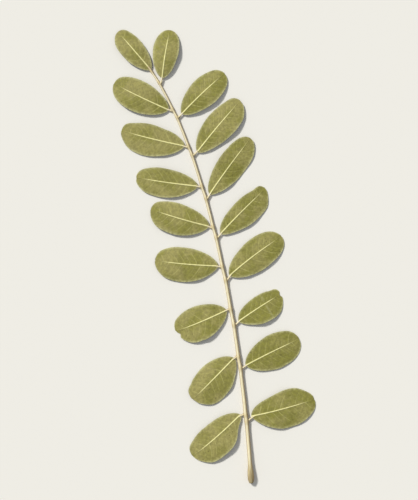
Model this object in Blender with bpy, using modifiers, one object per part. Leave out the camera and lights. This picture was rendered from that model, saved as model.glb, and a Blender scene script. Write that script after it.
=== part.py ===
"""A pressed, dried compound leaf, lying on a flat surface with its underside up.

The leaf grew as one piece, so it is one solid. A stalk with a swollen foot carries a long rachis
that bends over to the left towards its tip. Short leaflet stalks join it to 17 side leaflets in
near pairs and to a single leaflet at the end. Every blade is thin, slightly arched and waved, and
has a raised midrib. The leaf rests on its flattened foot and on one blade at each side.

Metres. +Z is up, +Y runs from the stalk's foot to the tip of the leaf, and the origin is at the
centre of the leaf's underside.
"""

import math
import random
from collections import namedtuple

import bmesh
import bpy
from mathutils import Matrix, Vector

MM = 0.001
LEFT, RIGHT = 1, -1

# The rachis: a heading of 0 points along +Y, and a positive one leans to the left.
RACHIS_LENGTH = 264 * MM
FOOT_HEADING = math.radians(-13)
STEADY_TURN = math.radians(17)
TIP_TURN = math.radians(14)
TIP_TURN_POWER = 6
RACHIS_STEP = 1 * MM
RACHIS_FOOT_RADIUS = 1.25 * MM
RACHIS_TIP_RADIUS = 0.65 * MM
FOOT_HEIGHT = 2.0 * MM  # less than the foot's radius, so that its underside is pressed flat
FOOT_LENGTH = 10 * MM
FOOT_FALL = 20 * MM  # the centreline comes down over this length, and then runs along the surface
RACHIS_GAP = 0.3 * MM

# The swollen foot, and the slight swelling where leaflets join
SWELL_RADIUS = 0.95 * MM
SWELL_PLACE = 4.5 * MM
SWELL_SPREAD = 5.5 * MM
CUT_END_SHARE = 0.62
CUT_END_LENGTH = 2.2 * MM
NODE_SWELL = 0.18 * MM
NODE_SPREAD = 1.8 * MM

# One leaflet stalk and the blade that it runs into
ROOT_OFFSET = 2.2 * MM  # from the rachis's centreline to where a leaflet's length starts
ROOT_HEIGHT = 1.1 * MM
STALK_LENGTH = {LEFT: 0.6 * MM, RIGHT: 1.8 * MM}
STALK_RADIUS = 0.62 * MM
STALK_END_RADIUS = 0.3 * MM
STALK_REACH = 6 * MM  # how far the stalk runs on inside the blade
STALK_LEAN = 0.5  # how far its root follows the leaflet's angle: 0 is square to the rachis
STALK_BEND = 0.35  # how far it has turned towards an off-centre midrib at the rachis
BLADE_THICKNESS = 0.65 * MM
REST_GAP = 0.4 * MM  # under a blade's lowest point
RIB_HALF_WIDTH = 0.75 * MM
RIB_HEIGHT = 0.4 * MM
RIB_START = 0.02  # share of the blade's length over which the midrib rises
BASE_POWER = 0.62  # outline: higher is a more pointed base
TIP_POWER = 0.45  # outline: lower is a blunter tip
RIM_START = 0.45  # share of the length over which the rims leave an off-centre midrib
RIM_END = 0.2  # share over which they come back to it

# The leaf rests on its foot and on these two blades, which lie on either side of its weight.
RESTING = ("left_2", "right_3")
TOUCH_GAP = 0.01 * MM

# How far a blade departs from flat, as the least and the most of a random draw
SEED = 11
ARCH = (0.8 * MM, 2.6 * MM)
CUP = (0.2 * MM, 1.3 * MM)
WAVE = (0.15 * MM, 0.5 * MM)
TWIST = (math.radians(-5), math.radians(5))
WAVES_ALONG = 1.5

BOARD_DEPTH = 20 * MM
WELD_DISTANCE = 0.01 * MM

BLADE_ROWS = 12
BLADE_COLUMNS = (-1.0, -0.55, "rib", 0.0, "rib", 0.55, 1.0)

# Each leaflet as it was pressed. Millimetres, and degrees from the rachis's own direction.
Leaflet = namedtuple("Leaflet", "name side station splay length width bow rib_base rib_tip")
LEAFLETS = (
    Leaflet("right_9", RIGHT, 38, 76, 42.0, 23.0, -0.5, 2.7, -0.8),
    Leaflet("left_8", LEFT, 42, 126, 39.5, 21.5, 0.5, -1.2, -1.6),
    Leaflet("right_8", RIGHT, 71, 71, 38.5, 21.5, 0.5, 0.7, 0.4),
    Leaflet("left_7", LEFT, 78, 130, 36.5, 22.5, 0.0, -0.3, -2.2),
    Leaflet("right_7", RIGHT, 98, 69, 33.0, 17.5, 0.5, 1.1, 2.5),
    Leaflet("left_6", LEFT, 108, 104, 34.5, 21.5, 0.5, 0.0, -0.9),
    Leaflet("right_6", RIGHT, 126, 62, 42.0, 20.0, 1.0, 1.5, -0.1),
    Leaflet("left_5", LEFT, 135, 73, 39.5, 21.5, 0.5, -0.5, -0.5),
    Leaflet("right_5", RIGHT, 153, 61, 41.0, 16.5, 0.5, 0.8, 2.7),
    Leaflet("left_4", LEFT, 160, 60, 38.0, 19.5, 0.5, -0.6, -1.0),
    Leaflet("right_4", RIGHT, 178, 52, 44.5, 17.5, 0.5, 0.8, 0.7),
    Leaflet("left_3", LEFT, 186, 65, 39.0, 18.0, 0.5, -0.5, -0.5),
    Leaflet("right_3", RIGHT, 206, 62, 43.0, 18.5, 0.5, -0.2, 1.6),
    Leaflet("left_2", LEFT, 212, 57, 40.5, 19.5, 0.5, -0.7, -1.7),
    Leaflet("right_2", RIGHT, 231, 71, 38.0, 18.0, 0.5, 0.1, 0.4),
    Leaflet("left_1", LEFT, 237, 39, 38.0, 19.5, 0.5, 0.0, -0.4),
    Leaflet("right_1", RIGHT, 255, 40, 32.0, 16.0, 0.5, 0.0, 0.0),
    Leaflet("end", LEFT, 264, 7, 31.5, 14.5, 0.0, -0.3, -0.5),
)

GREY_OLIVE = (0.30, 0.31, 0.13, 1.0)
PALE_STRAW = (0.72, 0.62, 0.38, 1.0)


def clear_scene():
    for obj in list(bpy.data.objects):
        bpy.data.objects.remove(obj, do_unlink=True)


def new_collection(name, hidden=False):
    collection = bpy.data.collections.new(name)
    collection.hide_render = hidden
    bpy.context.scene.collection.children.link(collection)
    return collection


def dry_material(name, colour, roughness):
    material = bpy.data.materials.new(name)
    material.use_nodes = True
    surface = material.node_tree.nodes["Principled BSDF"]
    surface.inputs["Base Color"].default_value = colour
    surface.inputs["Roughness"].default_value = roughness
    surface.inputs["Metallic"].default_value = 0.0
    material.diffuse_color = colour
    return material


# The rachis


def rachis_heading(share):
    """Direction of the rachis at this share of its length, counted from the foot."""
    return FOOT_HEADING + STEADY_TURN * share + TIP_TURN * share**TIP_TURN_POWER


def rachis_at(station):
    """Point and direction of the rachis's centreline in plan, this far along it."""
    point = Vector((0, 0, 0))
    steps = max(1, round(station / RACHIS_STEP))
    for step in range(steps):
        heading = rachis_heading((step + 0.5) / steps * station / RACHIS_LENGTH)
        point += Vector((-math.sin(heading), math.cos(heading), 0)) * station / steps
    heading = rachis_heading(station / RACHIS_LENGTH)
    return point, Vector((-math.sin(heading), math.cos(heading), 0))


def bump(distance, spread):
    return math.exp(-((distance / spread) ** 2))


def smooth(share):
    share = min(1, max(0, share))
    return share * share * (3 - 2 * share)


def rachis_radius(station):
    taper = RACHIS_TIP_RADIUS - RACHIS_FOOT_RADIUS
    radius = RACHIS_FOOT_RADIUS + taper * station / RACHIS_LENGTH
    radius += SWELL_RADIUS * bump(station - SWELL_PLACE, SWELL_SPREAD)
    for leaflet in LEAFLETS:
        radius += NODE_SWELL * bump(station - leaflet.station * MM, NODE_SPREAD)
    rounding = min(1, station / CUT_END_LENGTH)
    return radius * (CUT_END_SHARE + (1 - CUT_END_SHARE) * math.sqrt(rounding))


def rachis_height(station):
    """Height of the centreline: level through the swollen foot, then down to the thin rachis."""
    past_foot = smooth((station - FOOT_LENGTH) / FOOT_FALL)
    running = rachis_radius(station) + RACHIS_GAP
    return FOOT_HEIGHT + (running - FOOT_HEIGHT) * past_foot


def rachis_stations():
    """Places along the rachis that show its foot and each joint, without points to spare."""
    foot = [share * SWELL_SPREAD for share in (0, 0.12, 0.3, 0.8, 1.5, 2.4, 3.6)]
    joints = []
    for leaflet in LEAFLETS[:-1]:
        station = leaflet.station * MM
        joints += [station - 1.6 * NODE_SPREAD, station, station + 1.6 * NODE_SPREAD]
    stations = []
    for station in sorted(foot + joints) + [RACHIS_LENGTH]:
        if not stations or station - stations[-1] > 0.6 * MM:
            stations.append(station)
    return stations


def tube(name, points, radii, rounds, material):
    """A mesh tube through the points, closed at both ends."""
    curve = bpy.data.curves.new(name, "CURVE")
    curve.dimensions = "3D"
    curve.bevel_depth = max(radii)
    curve.bevel_resolution = rounds
    curve.use_fill_caps = True
    curve.materials.append(material)
    spline = curve.splines.new("POLY")
    spline.points.add(len(points) - 1)
    for place, point, radius in zip(spline.points, points, radii):
        place.co = (*point, 1)
        place.radius = radius / max(radii)
    guide = bpy.data.objects.new(name, curve)
    bpy.context.scene.collection.objects.link(guide)
    evaluated = guide.evaluated_get(bpy.context.evaluated_depsgraph_get())
    mesh = bpy.data.meshes.new_from_object(evaluated)
    mesh.transform(guide.matrix_world)
    bpy.data.objects.remove(guide)
    weld(mesh)
    return bpy.data.objects.new(name, mesh)


def weld(mesh):
    shape = bmesh.new()
    shape.from_mesh(mesh)
    bmesh.ops.remove_doubles(shape, verts=shape.verts, dist=WELD_DISTANCE)
    shape.to_mesh(mesh)
    shape.free()


def make_rachis(end_press, material):
    """The rachis, which runs on into the blade at its end."""
    points, radii = [], []
    for station in rachis_stations():
        point, _ = rachis_at(station)
        points.append((point.x, point.y, rachis_height(station)))
        radii.append(rachis_radius(station))
    end_points, end_radii = run_into_blade(end_press)
    return tube("rachis", points + end_points, radii + end_radii, 2, material)


# One leaflet


def half_width(leaflet, along):
    """Half of the blade's width at this share of its length, from its base to its tip."""
    peak = BASE_POWER / (BASE_POWER + TIP_POWER)
    widest = peak**BASE_POWER * (1 - peak) ** TIP_POWER
    return leaflet.width * MM / 2 * along**BASE_POWER * (1 - along) ** TIP_POWER / widest


def rib_offset(leaflet, along):
    """How far the midrib lies to the left of the blade's middle."""
    return (leaflet.rib_base + (leaflet.rib_tip - leaflet.rib_base) * along) * MM


def leaflet_frame(leaflet):
    """Matrix that carries a leaflet's own X, along its length, onto the leaf."""
    point, direction = rachis_at(leaflet.station * MM)
    across = Vector((-direction.y, direction.x, 0)) * leaflet.side
    start = point if leaflet.name == "end" else point + across * ROOT_OFFSET
    turn = leaflet.side * math.radians(leaflet.splay)
    angle = math.atan2(direction.y, direction.x) + turn
    return Matrix.Translation(start) @ Matrix.Rotation(angle, 4, "Z")


class Press:
    """How one blade dried: its arch, cup, waves and twist, and how far its tip sinks to rest."""

    def __init__(self, leaflet, draw):
        self.leaflet = leaflet
        self.arch = draw.uniform(*ARCH)
        self.cup = draw.uniform(*CUP)
        self.wave = draw.uniform(*WAVE)
        self.phase = draw.uniform(0, 2 * math.pi)
        self.twist = draw.uniform(*TWIST)
        self.tilt = 0.0
        self.settle()

    def settle(self):
        """Tilts the blade about its root until its lowest point is down at the surface."""
        rows = [blade_row(row) for row in range(1, BLADE_ROWS + 1)]
        points = [self.point(along, across) for along in rows for across in (-1, -0.55, 0, 0.55, 1)]
        gap = TOUCH_GAP if self.leaflet.name in RESTING else REST_GAP
        lowest = BLADE_THICKNESS / 2 + gap
        self.tilt = max((lowest - point.z) / point.x for point in points)

    def point(self, along, across):
        """Middle of the blade's thickness: along it from 0 to 1, and across from -1 to 1."""
        leaflet = self.leaflet
        stalk, length = STALK_LENGTH[leaflet.side], leaflet.length * MM
        x = stalk + (length - stalk) * along
        half, widest = half_width(leaflet, along), leaflet.width * MM / 2
        share = x / length
        held = abs(across) * smooth(along / RIM_START) * smooth((1 - along) / RIM_END)
        y = 4 * leaflet.bow * MM * share * (1 - share) + across * half
        y += rib_offset(leaflet, along) * (1 - held)
        out = across * half / widest
        z = ROOT_HEIGHT + self.tilt * x
        z += 4 * self.arch * share * (1 - share)
        z -= self.cup * out**2
        z += self.wave * math.sin(2 * math.pi * WAVES_ALONG * along + self.phase) * out * abs(out)
        z += math.tan(self.twist) * across * half * smooth(2 * along)
        return Vector((x, y, z))


def blade_row(row):
    """A row's share of the blade's length, with rows close together at the two ends."""
    return (1 - math.cos(math.pi * row / BLADE_ROWS)) / 2


def rib_height(along):
    """Height of the midrib's ridge, which runs out at both ends of the blade."""
    return RIB_HEIGHT * (1 - along) * smooth(along / RIB_START)


def blade_column(column, place, half):
    """A column's share of the half width. The two beside the middle keep to the rib's edges."""
    if column != "rib":
        return column
    edge = min(RIB_HALF_WIDTH, 0.4 * half) / half if half > 0 else 0
    return math.copysign(edge, place - len(BLADE_COLUMNS) // 2)


def make_blade(press, material):
    """A grid bent to the blade's outline, split alike on both faces, and given its thickness."""
    columns = len(BLADE_COLUMNS)
    shape = bmesh.new()
    bmesh.ops.create_grid(shape, x_segments=BLADE_ROWS, y_segments=columns - 1, size=1)
    for vertex in shape.verts:
        row = round((vertex.co.x + 1) / 2 * BLADE_ROWS)
        place = round((vertex.co.y + 1) / 2 * (columns - 1))
        along = blade_row(row)
        half = half_width(press.leaflet, along)
        across = blade_column(BLADE_COLUMNS[place], place, half)
        vertex.co = press.point(along, across)
        if place == columns // 2:
            vertex.co.z += rib_height(along)
    bmesh.ops.remove_doubles(shape, verts=shape.verts, dist=WELD_DISTANCE)
    bmesh.ops.triangulate(shape, faces=shape.faces)
    mesh = bpy.data.meshes.new(press.leaflet.name)
    shape.to_mesh(mesh)
    shape.free()
    mesh.materials.append(material)
    mesh.transform(leaflet_frame(press.leaflet))
    blade = bpy.data.objects.new(press.leaflet.name, mesh)
    thickness = blade.modifiers.new("thickness", "SOLIDIFY")
    thickness.thickness = BLADE_THICKNESS
    thickness.offset = 0
    return blade


def run_into_blade(press):
    """Points and radii of a leaflet's stalk where it runs on into the blade's midrib."""
    leaflet = press.leaflet
    frame = leaflet_frame(leaflet)
    blade_length = leaflet.length * MM - STALK_LENGTH[leaflet.side]
    radius = stalk_radius(leaflet)
    points, radii = [], []
    for share, slimming in ((0.15, 0.0), (0.5, 0.5), (1.0, 1.0)):
        point = press.point(share * STALK_REACH / blade_length, 0)
        point.z += 0.3 * RIB_HEIGHT
        points.append(frame @ point)
        radii.append(radius + slimming * (STALK_END_RADIUS - radius))
    return points, radii


def stalk_radius(leaflet):
    return min(STALK_RADIUS, 0.85 * rachis_radius(leaflet.station * MM))


def make_stalk(press, material):
    """A side leaflet's short stalk, from inside the rachis to inside the blade's midrib."""
    leaflet = press.leaflet
    centre, direction = rachis_at(leaflet.station * MM)
    lean = STALK_LEAN * ROOT_OFFSET / math.tan(math.radians(leaflet.splay))
    root = centre - direction * lean + Vector((0, 0, ROOT_HEIGHT))
    points, radii = run_into_blade(press)
    knee = Vector((0, STALK_BEND * rib_offset(leaflet, 0), ROOT_HEIGHT))
    points = [root, leaflet_frame(leaflet) @ knee] + points
    radii = [radii[0], radii[0]] + radii
    return tube(leaflet.name + "_stalk", points, radii, 1, material)


# The whole leaf


def apply_modifiers(obj):
    evaluated = obj.evaluated_get(bpy.context.evaluated_depsgraph_get())
    mesh = bpy.data.meshes.new_from_object(evaluated)
    obj.modifiers.clear()
    obj.data = mesh


def grow_together(rachis, members):
    """Fuses the leaflets and their stalks to the rachis with one Boolean union."""
    union = rachis.modifiers.new("grown together", "BOOLEAN")
    union.operation = "UNION"
    union.operand_type = "COLLECTION"
    union.collection = members
    union.solver = "EXACT"
    union.material_mode = "TRANSFER"
    apply_modifiers(rachis)
    for member in list(members.objects):
        bpy.data.objects.remove(member, do_unlink=True)


def press_flat(leaf):
    """Takes off what lies under the surface, which leaves the foot's flat underside."""
    bpy.ops.mesh.primitive_cube_add(size=1)
    board = bpy.context.object
    board.name = "press_board"
    board.scale = (2 * RACHIS_LENGTH, 3 * RACHIS_LENGTH, BOARD_DEPTH)
    board.location = (0, RACHIS_LENGTH / 2, -BOARD_DEPTH / 2)
    board.hide_render = True
    board.display_type = "WIRE"
    cut = leaf.modifiers.new("flat underside", "BOOLEAN")
    cut.operation = "DIFFERENCE"
    cut.object = board
    cut.solver = "EXACT"
    apply_modifiers(leaf)
    bpy.data.objects.remove(board, do_unlink=True)


def centre_on_underside(leaf):
    """Puts the origin at the centre of the leaf's box, at the height of its underside."""
    low = Vector(min(v.co[axis] for v in leaf.data.vertices) for axis in range(3))
    high = Vector(max(v.co[axis] for v in leaf.data.vertices) for axis in range(3))
    shift = Vector(((low.x + high.x) / 2, (low.y + high.y) / 2, low.z))
    leaf.data.transform(Matrix.Translation(-shift))


def dress(leaf):
    leaf.data.shade_smooth()
    leaf.data.set_sharp_from_angle(angle=math.radians(40))


def build():
    clear_scene()
    parts = new_collection("pressed leaf")
    members = new_collection("leaflets", hidden=True)
    green = dry_material("dried blade", GREY_OLIVE, 0.7)
    straw = dry_material("dried stalk", PALE_STRAW, 0.55)
    draw = random.Random(SEED)
    presses = [Press(leaflet, draw) for leaflet in LEAFLETS]
    leaf = make_rachis(presses[-1], straw)
    leaf.name = "leaf"
    parts.objects.link(leaf)
    for press in presses:
        members.objects.link(make_blade(press, green))
    for press in presses[:-1]:
        members.objects.link(make_stalk(press, straw))
    grow_together(leaf, members)
    bpy.data.collections.remove(members)
    press_flat(leaf)
    weld(leaf.data)
    centre_on_underside(leaf)
    dress(leaf)


build()
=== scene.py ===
# %% [markdown]
# # A pressed, dried compound leaf
#
# The leaf lies with its underside up. A long rachis with a swollen foot carries 18 thin blades on
# short stalks. The imported model holds the whole leaf as one plain solid. This lesson takes that
# solid's measurements and grows the same leaf again with finer pieces: ribs and side veins that
# stand up from each blade, wavy rims, a wrinkled foot, and dry, mottled materials made from nodes.
#
# First the imported model is opened.

# %% Open the imported model
import math
import random
from collections import namedtuple

import bmesh
import bpy
from mathutils import Matrix, Vector, noise


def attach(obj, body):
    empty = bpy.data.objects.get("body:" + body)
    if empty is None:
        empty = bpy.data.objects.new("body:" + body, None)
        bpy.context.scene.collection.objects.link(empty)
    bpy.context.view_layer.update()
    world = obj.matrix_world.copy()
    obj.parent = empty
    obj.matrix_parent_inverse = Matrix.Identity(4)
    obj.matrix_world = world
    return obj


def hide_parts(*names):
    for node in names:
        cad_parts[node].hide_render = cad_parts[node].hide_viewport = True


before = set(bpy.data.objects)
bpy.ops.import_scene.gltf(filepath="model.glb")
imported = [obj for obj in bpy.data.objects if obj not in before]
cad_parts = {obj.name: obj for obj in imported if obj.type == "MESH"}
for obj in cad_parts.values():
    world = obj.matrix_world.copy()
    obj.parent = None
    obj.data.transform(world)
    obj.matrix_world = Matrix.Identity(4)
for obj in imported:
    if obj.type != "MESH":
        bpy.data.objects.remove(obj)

MM = 0.001
LEFT, RIGHT = 1, -1
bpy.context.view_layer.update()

# %% [markdown]
# ## The line of the rachis
#
# On the real leaf the rachis leans to the right at its foot, straightens, and bends to the left
# near its tip. A drawn curve could follow it, but a formula for its direction is shorter and gives
# a point and a direction at any distance from the foot, which every other piece needs.

# %% Follow the rachis from its foot
FOOT_PLACE = Vector((-15.043, -145.213, 0)) * MM
RACHIS_LENGTH = 264 * MM
FOOT_HEADING = math.radians(-13)
STEADY_TURN = math.radians(17)
TIP_TURN = math.radians(14)
TIP_TURN_POWER = 6


def rachis_heading(share):
    """How far the rachis is turned to the left, at this share of its length."""
    return FOOT_HEADING + STEADY_TURN * share + TIP_TURN * share**TIP_TURN_POWER


def rachis_at(station):
    """Point and direction of the rachis in plan, this far from its foot."""
    point = FOOT_PLACE.copy()
    steps = max(1, round(station / MM))
    for step in range(steps):
        heading = rachis_heading((step + 0.5) / steps * station / RACHIS_LENGTH)
        point += Vector((-math.sin(heading), math.cos(heading), 0)) * station / steps
    heading = rachis_heading(station / RACHIS_LENGTH)
    return point, Vector((-math.sin(heading), math.cos(heading), 0))


print("rachis tip, mm:", [round(x / MM, 1) for x in rachis_at(RACHIS_LENGTH)[0]])

# %% [markdown]
# ## The 18 leaflets
#
# Each leaflet has its own place on the rachis, angle, length and width. A table keeps them
# together, with lengths in millimetres and the splay from the rachis in degrees. The two rib
# columns say how far the rib lies to the left of the blade's middle at its base and at its tip,
# because a blade is seldom even. The last columns say how the leaflet dried: how far its colour has
# gone from green to tan, how many pairs of side veins it has, and how much of it is specked.

# %% List the leaflets from foot to tip
COLUMNS = "name side station splay length width bow rib_base rib_tip tan veins specks"
Leaflet = namedtuple("Leaflet", COLUMNS)
LEAFLETS = (
    Leaflet("right_9", RIGHT, 38, 76, 42.0, 23.0, -0.5, 2.7, -0.8, 0.35, 8, 0.02),
    Leaflet("left_8", LEFT, 42, 126, 39.5, 21.5, 0.5, -1.2, -1.6, 0.75, 8, 0.12),
    Leaflet("right_8", RIGHT, 71, 71, 38.5, 21.5, 0.5, 0.7, 0.4, 0.15, 8, 0.26),
    Leaflet("left_7", LEFT, 78, 130, 36.5, 22.5, 0.0, -0.3, -2.2, 0.60, 8, 0.20),
    Leaflet("right_7", RIGHT, 98, 69, 33.0, 17.5, 0.5, 1.1, 2.5, 0.10, 7, 0.05),
    Leaflet("left_6", LEFT, 108, 104, 34.5, 21.5, 0.5, 0.0, -0.9, 0.50, 7, 0.06),
    Leaflet("right_6", RIGHT, 126, 62, 42.0, 20.0, 1.0, 1.5, -0.1, 0.35, 8, 0.10),
    Leaflet("left_5", LEFT, 135, 73, 39.5, 21.5, 0.5, -0.5, -0.5, 0.55, 8, 0.05),
    Leaflet("right_5", RIGHT, 153, 61, 41.0, 16.5, 0.5, 0.8, 2.7, 0.45, 8, 0.08),
    Leaflet("left_4", LEFT, 160, 60, 38.0, 19.5, 0.5, -0.6, -1.0, 0.50, 8, 0.04),
    Leaflet("right_4", RIGHT, 178, 52, 44.5, 17.5, 0.5, 0.8, 0.7, 0.35, 9, 0.12),
    Leaflet("left_3", LEFT, 186, 65, 39.0, 18.0, 0.5, -0.5, -0.5, 0.60, 8, 0.10),
    Leaflet("right_3", RIGHT, 206, 62, 43.0, 18.5, 0.5, -0.2, 1.6, 0.50, 9, 0.05),
    Leaflet("left_2", LEFT, 212, 57, 40.5, 19.5, 0.5, -0.7, -1.7, 0.65, 8, 0.03),
    Leaflet("right_2", RIGHT, 231, 71, 38.0, 18.0, 0.5, 0.1, 0.4, 0.40, 8, 0.08),
    Leaflet("left_1", LEFT, 237, 39, 38.0, 19.5, 0.5, 0.0, -0.4, 0.55, 8, 0.06),
    Leaflet("right_1", RIGHT, 255, 40, 32.0, 16.0, 0.5, 0.0, 0.0, 0.55, 7, 0.03),
    Leaflet("end", LEFT, 264, 7, 31.5, 14.5, 0.0, -0.3, -0.5, 0.65, 7, 0.04),
)
ROOT_OFFSET = 2.2 * MM
STALK_LENGTH = {LEFT: 0.6 * MM, RIGHT: 1.8 * MM}


def leaflet_frame(leaflet):
    """Matrix that carries a leaflet's own X, along its length, onto the leaf."""
    point, direction = rachis_at(leaflet.station * MM)
    across = Vector((-direction.y, direction.x, 0)) * leaflet.side
    start = point if leaflet.name == "end" else point + across * ROOT_OFFSET
    angle = math.atan2(direction.y, direction.x) + leaflet.side * math.radians(leaflet.splay)
    return Matrix.Translation(start) @ Matrix.Rotation(angle, 4, "Z")


print(len(LEAFLETS), "leaflets, widest", max(leaf.width for leaf in LEAFLETS), "mm")

# %% [markdown]
# ## How a blade dries
#
# A pressed blade is never quite flat. It arches along its rib, cups across it, waves at its rims
# and twists a little. A cloth simulation could crumple it, but a dry blade is stiff and its bends
# are few and smooth, so four small formulas do it, with amounts from one seeded draw. The blade
# then tips about its root until its lowest point comes down to the surface.

# %% Bend one blade
SEED = 11
ARCH = (0.8 * MM, 2.6 * MM)
CUP = (0.2 * MM, 1.3 * MM)
WAVE = (0.15 * MM, 0.5 * MM)
TWIST = (math.radians(-5), math.radians(5))
WAVES_ALONG = 1.5
PROBE_ROWS, PROBE_COLUMNS = 24, (-1, -0.5, 0, 0.5, 1)
BASE_POWER = 0.62
TIP_POWER = 0.45
RIM_START, RIM_END = 0.45, 0.2
ROOT_HEIGHT = 1.1 * MM
BLADE_THICKNESS = 0.24 * MM
REST_GAP = 0.12 * MM


def smooth(share):
    """Goes from 0 to 1 as the share does, with a soft start and a soft end."""
    share = min(1, max(0, share))
    return share * share * (3 - 2 * share)


def bump(distance, spread):
    """A soft hill: 1 at no distance, and next to nothing at twice its spread."""
    return math.exp(-((distance / spread) ** 2))


def half_width(leaflet, along):
    """Half of the blade's width at this share of its length, from its base to its tip."""
    peak = BASE_POWER / (BASE_POWER + TIP_POWER)
    widest = peak**BASE_POWER * (1 - peak) ** TIP_POWER
    return leaflet.width * MM / 2 * along**BASE_POWER * (1 - along) ** TIP_POWER / widest


def rib_offset(leaflet, along):
    """How far the rib lies to the left of the blade's middle."""
    return (leaflet.rib_base + (leaflet.rib_tip - leaflet.rib_base) * along) * MM


class Press:
    """How one blade dried, and how far its tip sinks to rest."""

    def __init__(self, leaflet, draw):
        self.leaflet = leaflet
        self.arch = draw.uniform(*ARCH)
        self.cup = draw.uniform(*CUP)
        self.wave = draw.uniform(*WAVE)
        self.phase = draw.uniform(0, 2 * math.pi)
        self.twist = draw.uniform(*TWIST)
        self.tilt = 0.0
        rows = [row / PROBE_ROWS for row in range(1, PROBE_ROWS + 1)]
        spots = [(along, across) for along in rows for across in PROBE_COLUMNS]
        lowest = BLADE_THICKNESS + REST_GAP
        points = [self.point(*spot) for spot in spots]
        self.tilt = max((lowest - point.z) / point.x for point in points)

    def point(self, along, across):
        """The blade's surface: along it from 0 to 1, and across from -1 to 1."""
        leaflet = self.leaflet
        stalk, length = STALK_LENGTH[leaflet.side], leaflet.length * MM
        x = stalk + (length - stalk) * along
        half, widest = half_width(leaflet, along), leaflet.width * MM / 2
        share = x / length
        held = abs(across) * smooth(along / RIM_START) * smooth((1 - along) / RIM_END)
        y = 4 * leaflet.bow * MM * share * (1 - share) + across * half
        y += rib_offset(leaflet, along) * (1 - held)
        out = across * half / widest
        z = ROOT_HEIGHT + self.tilt * x
        z += 4 * self.arch * share * (1 - share)
        z -= self.cup * out**2
        z += self.wave * math.sin(2 * math.pi * WAVES_ALONG * along + self.phase) * out * abs(out)
        z += math.tan(self.twist) * across * half * smooth(2 * along)
        return Vector((x, y, z))


draw = random.Random(SEED)
presses = [Press(leaflet, draw) for leaflet in LEAFLETS]
print("highest arch, mm:", round(max(press.arch for press in presses) / MM, 1))

# %% [markdown]
# ## A skin from a grid
#
# Blades, rachis and leaflet stalks are all made the same way: a flat grid of quads is bent into
# place by a rule that gets each corner's row and column. The rule also hands back masks, such as
# how close the corner is to a vein, which are stored on the mesh so that the materials can read
# them. Corners that fall together, at a tip or along the seam of a tube, are welded.

# %% Bend a grid and keep its masks
WELD_DISTANCE = 0.003 * MM


def skin_grid(name, rows, columns, rule, masks):
    """A mesh of rows by columns corners. rule(row, column) gives a point and the masks' values."""
    shape = bmesh.new()
    bmesh.ops.create_grid(shape, x_segments=rows - 1, y_segments=columns - 1, size=1)
    layers = [shape.verts.layers.float.new(mask) for mask in masks]
    for corner in shape.verts:
        row = round((corner.co.x + 1) / 2 * (rows - 1))
        column = round((corner.co.y + 1) / 2 * (columns - 1))
        corner.co, values = rule(row, column)
        for layer, value in zip(layers, values):
            corner[layer] = value
    bmesh.ops.remove_doubles(shape, verts=shape.verts, dist=WELD_DISTANCE)
    bmesh.ops.dissolve_degenerate(shape, edges=shape.edges, dist=WELD_DISTANCE / 4)
    mesh = bpy.data.meshes.new(name)
    shape.to_mesh(mesh)
    shape.free()
    mesh.shade_smooth()
    return mesh


def add_piece(name, mesh):
    """Puts a mesh into the scene."""
    piece = bpy.data.objects.new(name, mesh)
    bpy.context.scene.collection.objects.link(piece)
    return piece


print("corners closer than this are welded, mm:", round(WELD_DISTANCE / MM, 4))

# %% [markdown]
# ## Rows that follow the side veins
#
# A blade's underside shows its rib and its side veins as ridges. Bump alone would leave the rim
# and the shadows flat, so the ridges are geometry. To get them with few quads, the grid's rows run
# the way the veins do: out from the rib and forward towards the tip. Rows crowd together at each
# vein, and columns crowd together at the rib and at the rim. The two sides have their own rows,
# because real side veins don't leave the rib in exact pairs.

# %% Space the rows and columns of a blade
VEIN_FIRST, VEIN_LAST = 0.07, 0.93
VEIN_ROWS = (-0.5, -0.3, -0.16, -0.08, -0.035, 0.0, 0.035, 0.08, 0.16, 0.3)
BASE_ROWS = (0.0, 0.0015, 0.006, 0.014, 0.026, 0.04, 0.055)
TIP_ROWS = (0.93, 0.945, 0.96, 0.973, 0.984, 0.992, 0.9975, 1.0)
RIB_COLUMNS = (0.3, 0.6, 0.85, 1.1, 1.6)
OUTER_COLUMNS = (0.12, 0.25, 0.38, 0.5, 0.62, 0.73, 0.82, 0.89, 0.945, 0.98, 1.0)
HALF_COLUMNS = len(RIB_COLUMNS) + len(OUTER_COLUMNS)
VEIN_SLANT, VEIN_CURVE = 0.80, 1.25
VEIN_HOOK, HOOK_CURVE = 0.17, 5
VEIN_STAGGER, VEIN_JITTER = 0.20, 0.15
VEIN_STRENGTH, VEIN_REACH = (0.35, 1.0), (0.8, 1.1)
RIB_WIDTH_MM, RIB_NARROWING_MM = 0.62, 0.36
RIB_WIDEST_SHARE = 0.22
Vein = namedtuple("Vein", "place strength reach")
Row = namedtuple("Row", "place offset vein")


def side_veins(leaflet, seed, side):
    """The side veins on one side of the rib, by the place where each leaves it."""
    veins, draw = [], random.Random(10 * seed + side)
    spacing = (VEIN_LAST - VEIN_FIRST) / leaflet.veins
    for number in range(leaflet.veins):
        steps = number + 0.5 + VEIN_STAGGER * side + draw.uniform(-VEIN_JITTER, VEIN_JITTER)
        place = VEIN_FIRST + steps * spacing
        veins.append(Vein(place, draw.uniform(*VEIN_STRENGTH), draw.uniform(*VEIN_REACH)))
    return veins


def blade_rows(veins):
    """The grid's rows on one side. A row's offset is 0 on its vein and 0.5 midway to the next."""
    places = [vein.place for vein in veins]
    borders = [VEIN_FIRST] + [(a + b) / 2 for a, b in zip(places, places[1:])] + [VEIN_LAST]
    rows = [Row(place, 0.5, veins[0]) for place in BASE_ROWS]
    for vein, start, end in zip(veins, borders, borders[1:]):
        for offset in VEIN_ROWS:
            gap = vein.place - start if offset < 0 else end - vein.place
            rows.append(Row(vein.place + 2 * offset * gap, offset, vein))
    return rows + [Row(place, 0.5, veins[-1]) for place in TIP_ROWS]


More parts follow.
